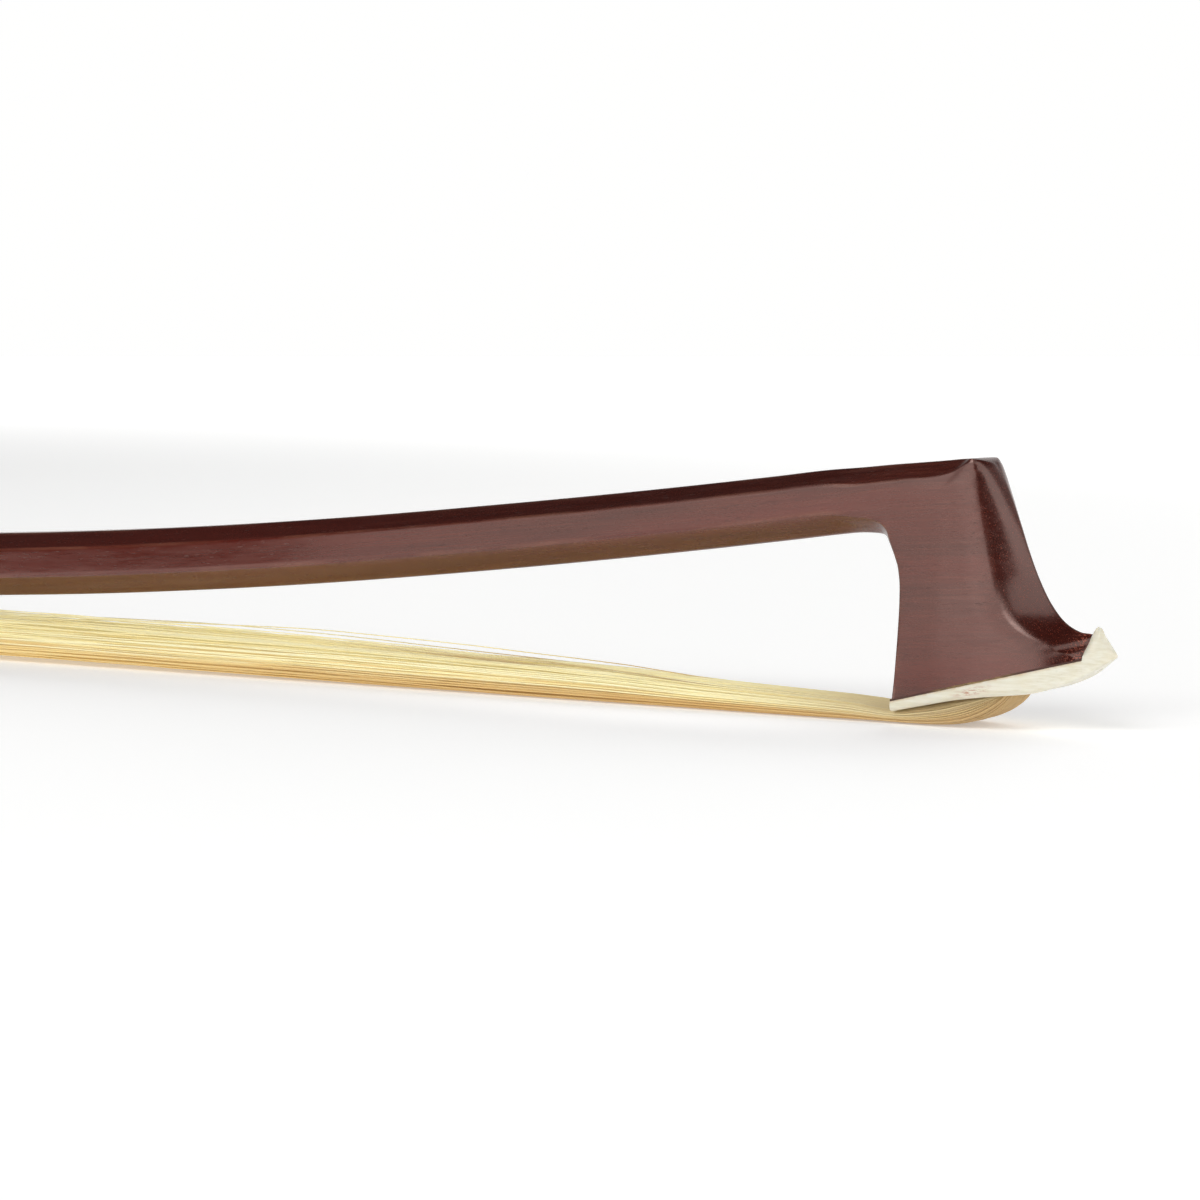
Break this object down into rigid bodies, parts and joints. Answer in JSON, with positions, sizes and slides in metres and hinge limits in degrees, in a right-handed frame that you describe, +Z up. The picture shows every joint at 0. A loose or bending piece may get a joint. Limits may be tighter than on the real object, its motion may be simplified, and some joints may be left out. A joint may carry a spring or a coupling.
{
  "type": "string instrument bow",
  "caption": "Bow for a large bowed string instrument: eight-sided cambered stick with carved head, slack hair, and a frog that a screw button draws back.",
  "frame": {"origin": "centre of the bow's bounding box on the surface that it stands on, hair down", "axes": "+X along the bow towards the head, +Y across it, +Z up, away from the hair"},
  "size_m": [0.7148, 0.0144, 0.0311],
  "materials": {
    "pernambuco": "thin polished varnish over dark red-brown wood",
    "face_plate": "ivory white, lightly worn and chipped at the beak",
    "veneer": "thin yellow-brown veneer",
    "plug_wood": "raw pale wood",
    "knot": "burnt hair ends and rosin",
    "thread": "waxed thread",
    "horse_hair": "pale cream to golden horse hair",
    "ebony": "satin black",
    "silver": "polished silver, softly worn",
    "pearl": "polished mother of pearl",
    "brass": "bare brass",
    "steel": "plain steel screw",
    "winding_wire": "silver wire, wound turn to turn",
    "grip_leather": "fine dark grained leather"
  },
  "bodies": {
    "stick": {"stick": "pernambuco", "head_plate": "face_plate", "head_plate_liner": "veneer", "head_plug": "plug_wood", "head_hair_knot": "knot", "head_knot_thread": "thread", "hair_ribbon": "horse_hair", "winding": "winding_wire", "thumb_leather": "grip_leather"},
    "frog": {"frog_body": "ebony", "ferrule": "silver", "ferrule_wedge": "plug_wood", "frog_plug": "plug_wood", "frog_hair_knot": "knot", "frog_knot_thread": "thread", "slide_base": "ebony", "pearl_slide": "pearl", "heel_plate": "silver", "heel_pin_left": "silver", "heel_pin_right": "silver", "underslide": "silver", "underslide_pin_front": "silver", "underslide_pin_rear": "silver", "eye_ring_left": "silver", "eye_ring_right": "silver", "pearl_eye_left": "pearl", "pearl_eye_right": "pearl", "eyelet": "brass"},
    "screw": {"screw": "steel", "button_core": "ebony", "button_ring_front": "silver", "button_ring_rear": "silver", "button_eye": "pearl"}
  },
  "joints": [
    {"name": "screw_turn", "type": "hinge", "parent": "stick", "child": "screw", "pos_m": [-0.30713, 0, 0.0227], "axis": [0.9984, 0, -0.0559], "range_deg": [0, 2700]},
    {"name": "frog_slide", "type": "slide", "parent": "stick", "child": "frog", "axis": [-0.9984, 0, 0.0559], "range_m": [0, 0.006], "deforming": ["hair_ribbon"]}
  ],
  "couplings": [
    {"joint": "frog_slide", "follows": "screw_turn", "m_per_rad": 0.00012732}
  ]
}
